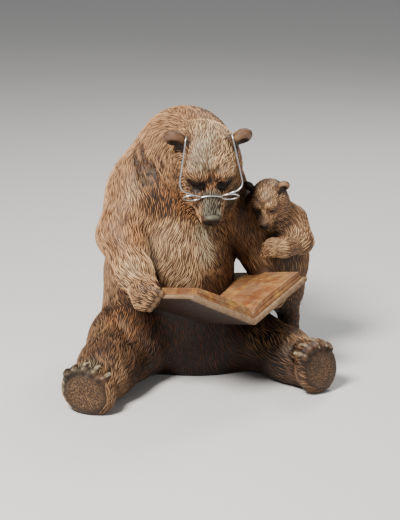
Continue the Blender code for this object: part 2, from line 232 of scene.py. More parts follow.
def carve_paw(clay, centre):
    """The right paw, whose four fingers close over the book's fore-edge."""
    clay.ball(centre, (15, 13, 14), 8)
    for finger in range(4):
        knuckle = Vector(centre) + Vector((5 - finger * 4, -10 + finger * 2, 7 - finger * 6))
        tip = knuckle + Vector((10, -5, -2))
        clay.limb([(*knuckle, 4.7), (*tip, 3.5)], 5)
        claw = tip + Vector((6.5, -2, -3))
        clay.limb([(*tip, 2.0), (*claw, 0.8)], 1, lay=0)
        clay.mark("nail", tip.lerp(claw, 0.8), (4, 4, 4))
        clay.mark("bare", tip + Vector((3, -1, -1)), (6, 5, 5))


def carve_bear(clay):
    """The bear, from the seat up, then its arms, legs and head."""
    lean = turned(yaw=22)
    clay.ball((-27, 64, 48), (72, 66, 58), turn=lean)
    clay.ball((-27, 46, 92), (60, 55, 58), 26, turn=lean)
    clay.ball((-23, 64, 142), (58, 58, 60), 28, turn=lean)
    clay.ball((-15, 74, 204), (53, 52, 60), 34, turn=lean)
    clay.ball((-60, 66, 92), (41, 48, 50), 16)
    clay.ball((-62, 56, 180), (32, 36, 42), 26)
    clay.ball((14, 68, 172), (30, 32, 38), 26)
    clay.limb([(-14, 66, 216, 42), (3, 26, 221, 29)], 24, lay=-1)
    clay.ball((6, 24, 192), (30, 28, 32), 18)
    clay.ball((-4, 40, 14), (66, 42, 40), 20)
    # Right arm, on the photograph's left
    clay.limb([(-66, 50, 178, 30), (-80, 20, 145, 23), (-64, -20, 117, 17), (-52, -44, 104, 14)], 10)
    # Left arm
    clay.limb([(22, 68, 174, 28), (46, 60, 140, 22), (64, 50, 110, 18), (72, 42, 90, 16), (74, 22, 80, 14)], 8)
    # Legs
    clay.limb([(-52, 48, 44, 50), (-74, 0, 37, 37), (-91, -50, 29, 27), (-102, -82, 22, 21)], 16)
    clay.limb([(8, 70, 44, 48), (60, 26, 29, 27), (88, -4, 26, 25), (104, -24, 22, 21)], 14)
    carve_foot(clay, (-107, -90, 21), (28, 12, 22.5), turned(yaw=-16, pitch=-12, roll=-20), -24)
    carve_foot(clay, (115, -40, 26), (24, 12, 27), turned(yaw=36, pitch=-8, roll=22), 16)
    carve_paw(clay, (-52, -50, 107))
    carve_head(clay, HEAD_AT, turned(*HEAD_TURN), 1.0, 1.0, 16, 1.0)
    # Creases: three round the ruff, then the belly over the thigh, and the elbow
    ruff = (
        [(-58, 44, 231, 0.2), (-55, 32, 219, 0.5), (-50, 21, 206, 0.9), (-42, 13, 193, 1.0), (-30, 8, 184, 0.6)],
        [(-66, 46, 226, 0.2), (-63, 34, 216, 0.4), (-58, 23, 203, 0.8), (-50, 13, 190, 0.8), (-38, 6, 181, 0.5)],
        [(-49, 36, 226, 0.2), (-46, 25, 213, 0.4), (-40, 16, 200, 0.7), (-31, 11, 190, 0.4)],
    )
    # Painted shade is laid along the three creases of the ruff, on top of their cut
    for crease in ruff:
        for start, end in zip(crease, crease[1:]):
            for share in (0.0, 0.25, 0.5, 0.75):
                clay.mark("ruff_shade", Vector(start[:3]).lerp(end[:3], share), (1.9 + start[3],) * 3)
    for crease in (
        *ruff,
        [(-100, 30, 72, 1.0), (-89, -17, 73, 1.6), (-79, -32, 67, 1.7), (-71, -46, 58, 1.3), (-63, -50, 48, 1.0)],
        [(-66, -2, 172, 1.0), (-60, -2, 158, 2.4), (-55, -6, 143, 2.4), (-52, -10, 128, 1.0)],
    ):
        clay.limb(crease, 5, lay=0, cut=True)


def carve_cub(clay):
    """The cub, which stands behind the bear's left arm and leans its own right arm on it."""
    clay.limb([(70, 50, 164, 22), (82, 62, 142, 25), (86, 70, 106, 26), (86, 74, 72, 25)], 12)
    clay.limb([(91, 75, 62, 17), (95, 75, 40, 10.5), (98, 75, 16, 9), (100, 66, 6, 9)], 5)
    clay.limb([(72, 88, 62, 17), (57, 98, 36, 11.5), (53, 96, 16, 10), (52, 86, 6, 9)], 5)
    clay.limb([(97, 56, 152, 14), (105, 46, 131, 11.5), (86, 28, 130, 9.5), (74, 20, 132, 10)], 6)
    clay.limb([(68, 76, 154, 13), (50, 90, 150, 11), (36, 92, 158, 9)], 6)
    carve_head(clay, (70, 40, 178), turned(yaw=-16, pitch=36, roll=6), 0.57, 0.72, 8, 0.42)
    for finger in range(4):
        knuckle = Vector((70 - finger * 0.5, 14, 137 - finger * 3.6))
        clay.limb([(*knuckle, 3.2), (*(knuckle + Vector((-5, 1, -1))), 2.6)], 1.5)
        clay.mark("dark", knuckle + Vector((-8, 0, -1)), (4, 4, 3))


def join(whole, part, place=None):
    """Adds a copy of one bmesh to another, moved to its place."""
    data = bpy.data.meshes.new("part")
    part.to_mesh(data)
    data.transform(place or Matrix.Identity(4))
    whole.from_mesh(data)
    bpy.data.meshes.remove(data)


def rough_mesh(clay):
    """The lumps as overlapping balls and cones, in one mesh for the remesher."""
    ball = bmesh.new()
    bmesh.ops.create_uvsphere(ball, u_segments=32, v_segments=16, radius=1)
    joined = bmesh.new()
    for first, second, turn, _, cut in clay.lumps:
        if cut:
            continue
        if turn is not None:
            join(joined, ball, Matrix.LocRotScale(Vector(first), Matrix(turn.tolist()), Vector(second)))
            continue
        for point in (first, second):
            join(joined, ball, Matrix.LocRotScale(Vector(point[:3]), None, Vector((point[3],) * 3)))
        span = Vector(second[:3] - first[:3])
        cone = bmesh.new()
        bmesh.ops.create_cone(
            cone, cap_ends=True, segments=24, radius1=first[3], radius2=second[3], depth=span.length
        )
        middle = Vector((first[:3] + second[:3]) / 2)
        join(joined, cone, Matrix.LocRotScale(middle, span.to_track_quat("Z", "Y"), None))
        cone.free()
    ball.free()
    return joined


def new_piece(name, mesh):
    """A bmesh made an object of its own, shaded smooth."""
    data = bpy.data.meshes.new(name)
    mesh.to_mesh(data)
    mesh.free()
    data.shade_smooth()
    obj = bpy.data.objects.new(name, data)
    bpy.context.scene.collection.objects.link(obj)
    return obj


def remesh(obj, voxel):
    """The object's overlapping lumps made one closed skin, with faces of about this size."""
    step = obj.modifiers.new("Remesh", "REMESH")
    step.mode = "VOXEL"
    step.voxel_size = voxel
    step.use_smooth_shade = True
    graph = bpy.context.evaluated_depsgraph_get()
    data = bpy.data.meshes.new_from_object(obj.evaluated_get(graph))
    obj.modifiers.clear()
    obj.data = data


def points_of(data):
    points = np.empty(len(data.vertices) * 3, np.float32)
    data.vertices.foreach_get("co", points)
    return points.reshape(-1, 3).astype(float)


def set_points(data, points):
    data.vertices.foreach_set("co", points.astype(np.float32).ravel())


def to_row(points):
    """Millimetres of the clay made metres of the row."""
    return (points + MIDDLE) / 1000


COARSE_FACES = 4.6
SKIN_FACES = 2.15
clay = Clay()
carve_bear(clay)
carve_cub(clay)
skin = new_piece("casting_skin", rough_mesh(clay))
for voxel in (COARSE_FACES, SKIN_FACES):
    remesh(skin, voxel)
    set_points(skin.data, clay.settle(points_of(skin.data)))
    if voxel == COARSE_FACES:
        coarse_points = points_of(skin.data)

# Faces, paws and soles are carved finer than the body. The casting is then cut flat where it stands.
FINE_SPOTS = (
    ((10, -8, 212), 46),
    ((68, 24, 176), 30),
    ((70, 14, 132), 14),
    ((-46, -58, 107), 22),
    ((-107, -96, 24), 34),
    ((115, -50, 30), 36),
)
mesh = bmesh.new()
mesh.from_mesh(skin.data)
fine = [
    edge
    for edge in mesh.edges
    if any((edge.verts[0].co - Vector(spot)).length < reach for spot, reach in FINE_SPOTS)
]
bmesh.ops.subdivide_edges(mesh, edges=fine, cuts=1, use_grid_fill=True)
bmesh.ops.triangulate(mesh, faces=[face for face in mesh.faces if len(face.verts) > 4])
mesh.to_mesh(skin.data)
mesh.free()
set_points(skin.data, clay.settle(points_of(skin.data), 3))
mesh = bmesh.new()
mesh.from_mesh(skin.data)
whole = mesh.verts[:] + mesh.edges[:] + mesh.faces[:]
cut = bmesh.ops.bisect_plane(mesh, geom=whole, plane_co=(0, 0, 0), plane_no=(0, 0, -1), clear_outer=True)
rim = [edge for edge in cut["geom_cut"] if isinstance(edge, bmesh.types.BMEdge)]
bmesh.ops.holes_fill(mesh, edges=rim, sides=0)
mesh.to_mesh(skin.data)
mesh.free()
skin.data.shade_smooth()

# The fur: thousands of long tapered ridges that the sculptor's tool left in the clay, cast in one with the skin. Each
# is laid here as a tapered lock that follows the way the hair lies, with its root in the skin and its middle proud
# of it.

# Places on the coat and the way the hair lies there, on the bear and on the cub
COMBED = (
    (-87, 16, 175, -0.2, -0.6, -0.8), (-93, -3, 135, 0.3, -0.2, -0.9), (-77, -10, 149, 0.6, -0.6, -0.6),
    (-71, -40, 122, 0.5, -0.8, -0.3), (-56, -56, 115, 0.7, -0.7, -0.2), (-93, 29, 86, 0.2, -0.7, -0.7),
    (-37, 4, 144, -0.4, -0.2, -0.9), (-18, -6, 112, -0.6, -0.3, -0.7), (-6, 4, 141, -0.1, -0.3, -0.9),
    (14, 14, 130, 0.6, 0.3, -0.8), (21, 17, 103, 0.4, 0.4, -0.8), (-26, 9, 169, -0.5, 0.0, -0.9),
    (-58, 6, 156, -0.3, -0.6, -0.7), (26, 4, 162, 0.3, 0.4, -0.8), (40, 38, 125, 0.5, 0.1, -0.9),
    (56, 34, 128, 0.2, -0.2, -1.0), (-40, 49, 252, -0.8, 0.3, -0.6), (-60, 45, 225, -0.5, 0.3, -0.8),
    (-55, 40, 233, -0.5, 0.1, -0.8), (-32, 15, 224, -0.5, 0.3, -0.8), (-26, 3, 212, -0.3, 0.5, -0.8),
    (-62, 38, 217, 0.3, -0.7, -0.6), (-52, 20, 204, 0.4, -0.6, -0.6), (-40, 10, 194, 0.6, -0.5, -0.6),
    (-54, 36, 224, 0.2, -0.6, -0.7), (-36, 18, 206, 0.4, -0.4, -0.8), (9, -10, 246, -0.1, 0.6, 0.8),
    (-3, -19, 229, -0.8, 0.5, 0.3), (23, -16, 228, 0.8, 0.5, 0.3), (2, -14, 238, -0.4, 0.5, 0.8),
    (17, -13, 238, 0.4, 0.5, 0.8), (29, -5, 240, 0.5, 0.7, 0.5), (3, 40, 262, -0.1, 1.0, 0.0),
    (11, -20, 194, 0.1, 0.2, 1.0), (-7, -7, 186, -0.3, 0.2, 0.9), (27, 3, 184, 0.3, 0.3, 0.9),
    (39, 26, 179, 0.2, 0.5, -0.8), (-24, 5, 191, -0.4, 0.3, -0.7), (-16, 44, 263, -0.3, 1.0, 0.2),
    (-104, -36, 59, 0.0, -1.0, -0.1), (-82, -57, 56, 0.0, -0.9, -0.4), (-93, -84, 45, 0.3, -0.9, -0.4),
    (-60, -36, 57, -0.3, -0.8, -0.5), (-86, -4, 75, 0.2, -1.0, -0.1), (-33, -13, 46, 0.0, -0.1, -1.0),
    (60, -7, 43, 0.3, -0.8, -0.6), (76, -19, 45, 0.4, -0.8, -0.5), (49, -4, 22, 0.8, -0.5, -0.2),
    (77, -30, 28, 0.7, -0.5, -0.5), (90, -39, 16, 0.8, -0.6, -0.2), (95, -45, 40, 0.5, -0.8, 0.3),
    (2, -1, 32, 0.2, 0.0, -1.0), (-15, 128, 200, 0.0, 0.3, -1.0), (-60, 108, 190, -0.4, 0.2, -0.9),
    (30, 110, 190, 0.4, 0.2, -0.9), (-27, 122, 120, 0.0, -0.1, -1.0), (-85, 100, 110, -0.3, 0.0, -1.0),
    (30, 100, 110, 0.3, 0.0, -1.0), (-27, 130, 50, 0.0, 0.0, -1.0), (-88, 95, 50, -0.2, -0.3, -1.0),
    (38, 100, 50, 0.2, 0.0, -1.0), (-10, 100, 248, 0.0, 0.8, -0.6),
)
CUB_COMBED = (
    (70, 24, 189, 0.0, 0.7, 0.7), (57, 27, 185, -0.4, 0.8, 0.4), (85, 31, 181, 0.5, 0.9, 0.0),
    (85, 33, 163, 0.6, 0.6, 0.2), (80, 32, 147, 0.8, 0.1, -0.5), (105, 46, 156, 0.4, -0.3, -0.9),
    (97, 25, 135, -0.7, -0.7, -0.2), (75, 13, 135, -1.0, -0.1, 0.0), (96, 42, 105, 0.0, 0.0, -1.0),
    (102, 65, 46, -0.2, 0.0, -1.0), (65, 18, 164, 0.1, 0.4, 0.9), (49, 37, 167, -0.2, 0.6, -0.6),
)


# The way the hair hangs where no place is near, and how strongly and how far round it a limb draws it along
HANGING = (0.0, -0.01, -0.06)
LIMB_DRAW = 0.35
LIMB_REACH = 3.0


def coat(points, out):
    """The way the hair lies at each point, in the skin."""
    total = np.tile(HANGING, (len(points), 1))
    for combed, reach in ((COMBED, 17), (CUB_COMBED, 8)):
        for x, y, z, *way in combed:
            near = np.exp(-((points - (x, y, z)) ** 2).sum(axis=1) / (2 * reach**2))
            total += near[:, None] * np.array(way)
    for start, end, lay in clay.lay:
        span = end[:3] - start[:3]
        share = np.clip((points - start[:3]) @ span / (span @ span), 0, 1)
        radius = start[3] + share * (end[3] - start[3])
        gap = np.linalg.norm(points - start[:3] - share[:, None] * span, axis=1) - radius
        near = LIMB_DRAW * np.exp(-(gap**2) / (2 * LIMB_REACH**2))
        total += near[:, None] * span / np.linalg.norm(span) * lay
    total -= (total * out).sum(axis=1)[:, None] * out
    return total / np.maximum(np.linalg.norm(total, axis=1, keepdims=True), 1e-9)


# The open book, whose place, turn and sizes are the solid's own, in millimetres and degrees
BOOK_AT = np.array((54, -62, 78.0))
BOOK_LENGTH = 106
BOOK_WIDTH = 80.5
BOOK_COVER = 5.5
BOOK_PAGES = 9.5
BOOK_MARGIN = 2.5
BOOK_RISES = {-1: 29.5, 1: 20.5}
BOOK_TURN = Matrix.Rotation(math.radians(40), 3, "Z") @ Matrix.Rotation(math.radians(-14), 3, "X")


def on_board(local, side):
    """How far out along one half of the book each point lies, and how far over its underside."""
    angle = math.radians(BOOK_RISES[side])
    across, up = local[:, 0] * side, local[:, 2]
    return across * math.cos(angle) + up * math.sin(angle), up * math.cos(angle) - across * math.sin(angle)


def inside_book(points, margin):
    """Which points lie in the book, or nearer to it than the margin."""
    local = (points - BOOK_AT) @ np.array(BOOK_TURN)
    found = np.zeros(len(points), bool)
    for side in BOOK_RISES:
        along, over = on_board(local, side)
        found |= (
            (np.abs(local[:, 1] - BOOK_LENGTH / 2) < BOOK_LENGTH / 2 + margin)
            & (along > -margin)
            & (along < BOOK_WIDTH + BOOK_COVER / 2 + margin)
            & (over > -margin)
            & (over < BOOK_COVER + BOOK_PAGES + margin)
        )
    return found


# Each coat's locks: how long they are, how thick, how far one lies beside another, and how unevenly they are brushed
COATS = (
    ("fur_body", 14.5, 0.46, 1.05, 0.55),
    ("fur_hump", 14.0, 0.36, 1.05, 0.25),
    ("fur_head", 8.5, 0.37, 0.85, 0.5),
    ("fur_cub", 6.0, 0.3, 0.8, 0.45),
    ("fur_thigh", 19.0, 0.6, 2.0, 0.2),
    ("fur_shade", 12.0, 0.45, 1.5, 0.7),
)
BODY, HUMP, HEAD, CUB, THIGH, SHADE = range(len(COATS))
# The middle and the radii of each place that wears another coat than the body's
COAT_PLACES = (
    (HUMP, (-52, 62, 214), (50, 70, 64)),
    (SHADE, (-34, 6, 187), (34, 24, 16)),
    (SHADE, (-82, -10, 98), (24, 30, 26)),
    (SHADE, (-8, -6, 34), (58, 40, 46)),
    (THIGH, (52, -2, 26), (46, 40, 34)),
    (HEAD, (-48, -54, 108), (22, 22, 22)),
    (HEAD, (-107, -90, 24), (26, 26, 26)),
    (HEAD, (115, -40, 30), (24, 24, 24)),
)
# The head's coat ends at a ragged edge, this far from a middle between the eyes and the neck
HEAD_BALL = Vector(HEAD_AT) + turned(*HEAD_TURN) @ Vector((0, 20, -4))
HEAD_EDGE = 46
HEAD_RAGGED = 4
CUB_EDGE = 1.2
cub_clay = Clay()
carve_cub(cub_clay)


def coat_of(points):
    """Which coat each point wears: the number of its row in COATS."""
    worn = np.full(len(points), BODY)
    for number, middle, radii in COAT_PLACES:
        worn[np.linalg.norm((points - middle) / radii, axis=1) < 1] = number
    edge = noise.normal(HEAD_EDGE, HEAD_RAGGED, len(points))
    worn[np.linalg.norm(points - np.array(HEAD_BALL), axis=1) < edge] = HEAD
    gap = np.full(len(points), Clay.FAR)
    for lump in cub_clay.lumps:
        if not lump[4]:
            gap = np.minimum(gap, Clay.gap_of(lump, points)[0])
    worn[gap < CUB_EDGE] = CUB
    return worn


# A lock from root to tip: its rings, how far each stands out of the skin, and how thick it is, by the lock's radius
RINGS = 6
STANDS = (-0.9, 0.0, 0.2, 0.25, 0.2, -0.1)
TAPER = (0.3, 0.85, 1.0, 0.9, 0.6, 0.12)
noise = np.random.default_rng(7)
mesh = skin.data
mesh.calc_loop_triangles()
corners = np.empty(len(mesh.loop_triangles) * 3, np.int32)
mesh.loop_triangles.foreach_get("vertices", corners)
skin_points = points_of(mesh)
triangles = skin_points[corners.reshape(-1, 3)]

# The skin's depth and the lie of its coat, worked out once on a grid that follows it
CELL = 2.5
lowest_node = skin_points.min(axis=0) - 4 * CELL
shape = tuple(((skin_points.max(axis=0) - lowest_node) / CELL + 5).astype(int))
cells = ((skin_points - lowest_node) / CELL).astype(int)
near_skin = np.zeros(shape, bool)
for offset in np.ndindex(4, 4, 4):
    near_skin[tuple((cells + offset - 1).T)] = True
nodes = np.argwhere(near_skin)
node_points = lowest_node + nodes * CELL
node_gap, node_out = clay.depth(node_points)
field = np.zeros((*shape, 7))
field[tuple(nodes.T)] = np.column_stack((node_gap, node_out, coat(node_points, node_out)))


def field_at(points):
    """The depth, the way out and the coat's lie at each point, between the grid's nodes."""
    place = (points - lowest_node) / CELL
    corner = np.clip(place.astype(int), 0, np.array(shape) - 2)
    part = place - corner
    found = np.zeros((len(points), 7))
    for step in np.ndindex(2, 2, 2):
        weight = np.prod(np.where(step, part, 1 - part), axis=1)
        found += weight[:, None] * field[tuple((corner + step).T)]
    return found[:, 0], found[:, 1:4], found[:, 4:]


# Roots are tried at random over the skin, down to this height. Behind a line that slopes across the bear, the locks
# are thicker and lie further apart. Each has a length and a thickness of its own, as shares of its coat's, and sways.
ROOTS = 170000
LOWEST_ROOT = 1.5
BACK_FROM = 62
BACK_SLOPE = 0.25
BACK_APART = 1.9
BACK_THICKER = 1.3
LENGTHS = (0.65, 1.3)
THICKNESSES = (0.7, 1.25)
SWAY = 0.07
area = np.linalg.norm(np.cross(triangles[:, 1] - triangles[:, 0], triangles[:, 2] - triangles[:, 0]), axis=1) / 2
picked = noise.choice(len(triangles), ROOTS, p=area / area.sum())
shares = noise.dirichlet((1, 1, 1), len(picked))
roots = (triangles[picked] * shares[:, :, None]).sum(axis=1)
roots = roots[(roots[:, 2] > LOWEST_ROOT) & (clay.marked(roots, "bare") <= 0) & ~inside_book(roots, 0)]
wears = coat_of(roots)
length, thick, beside = (np.array([sizes[item] for sizes in COATS])[wears] for item in (1, 2, 3))
behind = roots[:, 1] > BACK_FROM - BACK_SLOPE * roots[:, 0]
beside = np.where(behind, beside * BACK_APART, beside)
thick = np.where(behind, thick * BACK_THICKER, thick)
length = length * noise.uniform(*LENGTHS, len(roots))
thick = thick * noise.uniform(*THICKNESSES, len(roots))
sway = noise.normal(0, SWAY, len(roots))

# A lock is traced from its root to its tip in equal steps along the coat. It sways a little more with each step, and
# waves with its neighbours.
SWAY_GROWS = 0.3
WAVE = 0.2
WAVE_ACROSS = (0.11, 0.17, 0.13)
path = [roots]
for ring in range(RINGS - 1):
    _, out, way = field_at(path[-1])
    side = np.cross(out, way)
    way = way + side * (sway * (1 + SWAY_GROWS * ring) + WAVE * np.sin(path[-1] @ WAVE_ACROSS))[:, None]
    way = way / np.maximum(np.linalg.norm(way, axis=1, keepdims=True), 0.1)
    step = path[-1] + way * (length / (RINGS - 1))[:, None]
    gap, out, _ = field_at(step)
    path.append(step - gap[:, None] * out)
paths = np.stack(path, axis=1)
# Locks are looked up by cells a little wider than the widest gap, and one that would be shorter than this is left out
NEIGHBOURS = 2.8
SHORTEST = 4


def cell_of(point):
    return tuple(int(value // NEIGHBOURS) for value in point)


def spaced(paths, beside):
    """Which locks to keep, and how many steps of each, so that their middles don't run into each other."""
    laid = {}
    kept = []
    around = [(x, y, z) for x in (-1, 0, 1) for y in (-1, 0, 1) for z in (-1, 0, 1)]

    def taken(point, gap):
        x, y, z = cell_of(point)
        for dx, dy, dz in around:
            for other in laid.get((x + dx, y + dy, z + dz), ()):
                if math.dist(point, other) < gap:
                    return True
        return False

    for index, (lock, gap) in enumerate(zip(paths.tolist(), beside.tolist())):
        reach = 1
        while reach < RINGS - 1 and not taken(lock[reach], gap):
            reach += 1
        if reach >= SHORTEST:
            kept.append((index, reach))
            for point in lock[1:reach]:
                laid.setdefault(cell_of(point), []).append(point)
    return np.array(kept)


kept, reach = spaced(paths, beside).T
paths, wears, thick = paths[kept], wears[kept], thick[kept]
shares = np.linspace(0, 1, RINGS)[None, :] * reach[:, None]
first = np.minimum(shares.astype(int), RINGS - 2)
part = (shares - first)[:, :, None]
rings = np.arange(len(paths))[:, None]
paths = paths[rings, first] * (1 - part) + paths[rings, first + 1] * part
gap, out = clay.depth(paths.reshape(-1, 3))
lift = gap - (np.array(STANDS)[None, :] * thick[:, None]).ravel()
locks = (paths.reshape(-1, 3) - out * lift[:, None]).reshape(paths.shape)
flat = locks.reshape(-1, 3)
# Left out: a lock that reaches the ground, the book or bare skin, or that leaves the clay by more than this
LOWEST = 1.0
BOOK_CLEARANCE = 0.6
MOST_LIFT = 2.5
bad = (flat[:, 2] < LOWEST) | inside_book(flat, BOOK_CLEARANCE) | (clay.marked(flat, "bare") > 0.1)
good = ~(bad | (np.abs(lift) > MOST_LIFT)).reshape(-1, RINGS).any(axis=1)
locks, wears, thick = locks[good], wears[good], thick[good]


def tubes(title, paths, radii, roundness, merge, closed=False):
    """A tube along each path, with a radius at each of its points, as closed shells in one bmesh."""
    curve = bpy.data.curves.new(title, "CURVE")
    curve.dimensions = "3D"
    curve.bevel_depth = 1
    curve.bevel_resolution = roundness
    curve.use_fill_caps = True
    for points, widths in zip(paths, radii):
        spline = curve.splines.new("POLY")
        spline.points.add(len(points) - 1)
        spline.points.foreach_set("co", np.column_stack((points, np.ones(len(points)))).ravel())
        spline.points.foreach_set("radius", widths)
        spline.use_cyclic_u = closed
    drawn = bpy.data.objects.new(title, curve)
    bpy.context.scene.collection.objects.link(drawn)
    data = bpy.data.meshes.new_from_object(drawn.evaluated_get(bpy.context.evaluated_depsgraph_get()))
    bpy.data.objects.remove(drawn)
    mesh = bmesh.new()
    mesh.from_mesh(data)
    bmesh.ops.remove_doubles(mesh, verts=mesh.verts[:], dist=merge)
    bmesh.ops.recalc_face_normals(mesh, faces=mesh.faces[:])
    return mesh


def lay_locks(title, locks, thick, colours):
    """Tapered locks, four sides to a ring, in one piece. Each is painted ring by ring, on its own square of the map."""
    mesh = tubes(title, locks, np.array(TAPER) * thick[:, None], 0, 1e-4)
    rings = KDTree(locks.shape[0] * RINGS)
    for index, point in enumerate(locks.reshape(-1, 3)):
        rings.insert(point, index)
    rings.balance()
    paint_layer = mesh.verts.layers.float_color.new("paint")
    map_layer = mesh.loops.layers.uv.new("OFBake")
    across = math.ceil(math.sqrt(len(locks)))
    inset = 0.05
    count = 0
    for first in mesh.verts:
        if first.tag:
            continue
        first.tag = True
        shell = [first]
        for vert in shell:
            for edge in vert.link_edges:
                other = edge.other_vert(vert)
                if not other.tag:
                    other.tag = True
                    shell.append(other)
        votes = [rings.find(vert.co)[1] // RINGS for vert in shell]
        lock = max(set(votes), key=votes.count)
        gaps = ((np.array([vert.co for vert in shell])[:, None] - locks[lock][None]) ** 2).sum(axis=2)
        ring_of = dict(zip(shell, gaps.argmin(axis=1).tolist()))
        bands = {}
        for vert in shell:
            vert[paint_layer] = (*colours[lock, ring_of[vert]], 1)
            for face in vert.link_faces:
                if not face.tag:
                    face.tag = True
                    numbers = [ring_of[corner] for corner in face.verts]
                    band = max(numbers) if min(numbers) < RINGS - 1 else RINGS
                    bands.setdefault(band, []).append(face)
        # The square has a row for each span and each end of the lock, and a column for each side
        column, row = count % across, count // across
        count += 1
        for band, faces in bands.items():
            for place, face in enumerate(faces):
                loops = list(face.loops)
                numbers = [ring_of[loop.vert] for loop in loops]
                low = min(numbers)
                turn = next((i for i in range(len(loops)) if numbers[i - 1] == low and numbers[i] == low), 1) - 1
                for step, (u, v) in enumerate(((0, 0), (1, 0), (1, 1), (0, 1))[: len(loops)]):
                    loops[(turn + step) % len(loops)][map_layer].uv = (
                        (column + (place + inset + (1 - 2 * inset) * u) / len(faces)) / across,
                        (row + (band + inset + (1 - 2 * inset) * v) / (RINGS + 1)) / across,
                    )
    return new_piece(title, mesh)


# The paint: a dark wash and painted shade lie in the hollows, a ground colour on the skin, and a paler colour brushed
# over the locks. The painter changes colours by place, and some places carry painted shade and painted highlight. The
# paints are given as they look, from 0 to 255.

PAINTS = {
    "pitch": (28, 20, 16),
    "umber": (46, 32, 24),
    "walnut": (68, 46, 33),
    "chestnut": (104, 71, 48),
    "clay": (128, 94, 70),
    "fawn": (160, 122, 87),
    "tan": (193, 150, 108),
    "cream": (222, 188, 141),
    "moss": (108, 98, 72),
    "bone": (204, 196, 162),
    "slate": (130, 128, 112),
    "mauve": (114, 94, 86),
    "rust": (120, 68, 42),
    "amber": (194, 136, 88),
    "leaf": (146, 98, 60),
    "ochre": (204, 158, 84),
    "horn": (214, 198, 166),
}
# Where each ground and brushed colour lies: the middle of each place, and how far it reaches. The pitch grounds are
# painted shade, under the chin and the arms, low on the legs, under the book, round the cub's ears and between the cub
# and the bear; the umber lap under the book is darker paint and painted shade; the cream and bone places on the crown,
# brow, shoulders and chest are paler paint and painted highlight where the top light falls.
PLACES = {
    ("chestnut", "tan"): (
        (-20, 60, 262, 36), (-66, 62, 222, 32), (-14, -2, 246, 10), (-88, 10, 172, 26), (-93, -3, 142, 22),
        (-82, -18, 140, 18), (50, 36, 136, 15),
    ),
    ("clay", "bone"): ((5, -4, 249, 12), (0, -18, 233, 9), (6, 6, 150, 9), (9, 6, 128, 9)),
    ("chestnut", "cream"): (
        (8, 14, 260, 18), (26, -2, 246, 10), (-68, 12, 190, 10), (-72, -34, 124, 15), (-34, 0, 146, 20),
        (-24, -6, 118, 22),
    ),
    ("clay", "cream"): ((26, -16, 231, 9), (69, 26, 190, 13), (100, 42, 140, 11)),
    ("walnut", "tan"): (
        (-30, 14, 226, 16), (-26, 3, 208, 13), (-50, -60, 110, 13), (28, 14, 116, 14), (26, 12, 148, 10),
        (80, 8, 54, 14), (92, -8, 44, 12), (84, 30, 156, 9),
    ),
    ("walnut", "fawn"): (
        (-30, 30, 236, 12), (-3, -10, 194, 8), (-104, 60, 90, 40), (92, 44, 114, 12), (-27, 110, 40, 60),
    ),
    ("walnut", "amber"): (
        (38, 22, 210, 12), (11, -17, 209, 7), (-88, -26, 70, 6), (104, 66, 60, 14), (100, 62, 30, 14),
    ),
    ("umber", "walnut"): ((-3, -13, 211, 7), (22, -10, 211, 7), (60, -24, 14, 16)),
    ("walnut", "slate"): ((11, -21, 194, 8),),
    ("umber", "slate"): ((12, -24, 181, 7),),
    ("clay", "mauve"): ((-28, -4, 254, 9), (46, 5, 254, 9)),
    ("pitch", "amber"): ((-42, 14, 188, 14), (-22, 6, 180, 13), (-40, 6, 170, 9), (-78, -18, 96, 18)),
    ("umber", "tan"): ((-54, 22, 204, 10),),
    ("umber", "moss"): ((32, 14, 186, 13),),
    ("umber", "fawn"): ((28, 4, 172, 9), (-106, -24, 52, 16), (-90, -76, 42, 9)),
    ("walnut", "cream"): ((-64, 38, 217, 5), (-56, 24, 206, 5), (-48, 14, 198, 5)),
    ("umber", "amber"): ((-58, -2, 152, 11), (34, 24, 146, 7), (-71, -43, 60, 6)),
    ("chestnut", "fawn"): ((42, 30, 166, 14), (108, 70, 104, 18), (-27, 124, 130, 60), (20, 100, 200, 50)),
    ("umber", "clay"): ((-96, 4, 104, 15), (-106, 10, 60, 18), (-98, -58, 46, 13), (98, -40, 34, 12)),
    ("pitch", "clay"): ((-78, -46, 50, 13), (82, -26, 22, 16)),
    ("pitch", "chestnut"): ((-68, -50, 30, 16),),
    ("walnut", "bone"): ((-110, -88, 46, 9),),
    ("umber", "bone"): ((-126, -84, 30, 8),),
    ("umber", "rust"): ((-20, -8, 60, 34), (24, 2, 44, 34), (-20, -8, 18, 34)),
    ("umber", "chestnut"): ((-50, -24, 44, 18),),
    ("pitch", "tan"): ((58, -10, 40, 16),),
    ("tan", "cream"): ((62, 13, 174, 8),),
    ("clay", "tan"): ((80, 24, 170, 9), (104, 60, 150, 20)),
    ("pitch", "umber"): ((54, 22, 168, 8),),
    ("fawn", "cream"): ((78, 20, 132, 8),),
    ("pitch", "walnut"): ((84, 38, 192, 6), (50, 36, 192, 6), (80, 60, 40, 12)),
}


def linear(paint):
    """A paint as light: its share of each colour in linear values."""
    return ((np.array(PAINTS[paint]) / 255 + 0.055) / 1.055) ** 2.4


def colours_at(points, elsewhere=0.02, fading=1.6):
    """The ground and the brushed colour at each point: chestnut and tan where no place is near."""
    ground = np.tile(linear("chestnut") * elsewhere, (len(points), 1))
    crest = np.tile(linear("tan") * elsewhere, (len(points), 1))
    total = np.full(len(points), elsewhere)
    for (under, over), places in PLACES.items():
        for x, y, z, reach in places:
            near = np.exp(-fading * ((points - (x, y, z)) ** 2).sum(axis=1) / reach**2)
            total += near
            ground += near[:, None] * linear(under)
            crest += near[:, None] * linear(over)
    return ground / total[:, None], crest / total[:, None]
